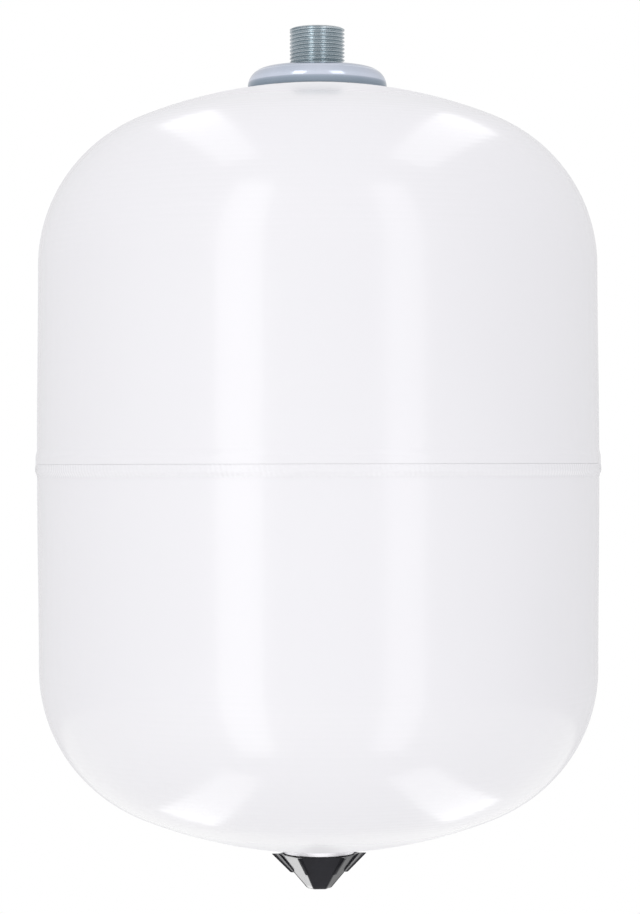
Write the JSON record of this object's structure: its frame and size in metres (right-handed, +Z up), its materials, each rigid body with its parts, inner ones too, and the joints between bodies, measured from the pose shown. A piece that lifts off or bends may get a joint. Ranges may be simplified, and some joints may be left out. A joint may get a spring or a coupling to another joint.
{
  "type": "expansion vessel",
  "caption": "White steel bladder expansion vessel with a threaded nipple on its top flange and a ribbed cover over the charging valve below.",
  "frame": {"origin": "centre of the end face of the G 3/4 nipple on top, where the pipe fitting meets the vessel", "axes": "+Z up along the vessel's axis, out of the nipple; +Y is away from the viewer of the reference view"},
  "size_m": [0.272, 0.272, 0.4146],
  "materials": {
    "shell_paint": "glossy white powder coat",
    "zinc_plate": "bright blue-passivated zinc plating",
    "plain_steel": "plain steel",
    "bladder_rubber": "matt butyl rubber",
    "seal_rubber": "matt",
    "valve_brass": "machined",
    "spring_steel": "drawn wire",
    "cup_rubber": "matt",
    "cap_plastic": "matt black",
    "cover_plastic": "glossy black moulding"
  },
  "bodies": {
    "vessel": {"upper_shell": "shell_paint", "lower_shell": "shell_paint", "girth_weld": "shell_paint", "neck_ring": "plain_steel", "neck_weld": "plain_steel", "flange_cap": "zinc_plate", "connection_nipple": "zinc_plate", "nipple_weld": "zinc_plate", "valve_boss": "shell_paint", "boss_weld": "plain_steel", "stem_gasket": "seal_rubber", "valve_stem": "valve_brass", "core_swivel": "valve_brass", "core_barrel": "valve_brass", "core_barrel_seal": "seal_rubber", "core_spring": "spring_steel"},
    "bladder": {"bladder": "bladder_rubber"},
    "core_pin": {"core_pin": "valve_brass", "core_cup_seal": "cup_rubber", "core_cup": "valve_brass"},
    "dust_cap_seal": {"dust_cap_seal": "seal_rubber"},
    "dust_cap": {"dust_cap": "cap_plastic"},
    "cover_cap": {"cover_cap": "cover_plastic"}
  },
  "joints": [
    {"name": "bladder_collapse", "type": "slide", "parent": "vessel", "child": "bladder", "axis": [0, 0, 1], "range_m": [0, 0.1], "deforming": ["bladder"]},
    {"name": "core_pin_press", "type": "slide", "parent": "vessel", "child": "core_pin", "axis": [0, 0, 1], "range_m": [0, 0.0015], "stiffness_N_per_m": 800, "springref_m": -0.001, "deforming": ["core_spring"]},
    {"name": "dust_cap_travel", "type": "slide", "parent": "vessel", "child": "dust_cap_seal", "axis": [0, 0, -1], "range_m": [0, 0.00476]},
    {"name": "dust_cap_turn", "type": "hinge", "parent": "dust_cap_seal", "child": "dust_cap", "pos_m": [0, 0, -0.4], "axis": [0, 0, -1], "range_deg": [0, 2160]},
    {"name": "cover_cap_removal", "type": "slide", "parent": "vessel", "child": "cover_cap", "axis": [0, 0, -1], "range_m": [0, 0.04]}
  ],
  "couplings": [
    {"joint": "dust_cap_turn", "follows": "dust_cap_travel", "rad_per_m": 7915.8}
  ]
}
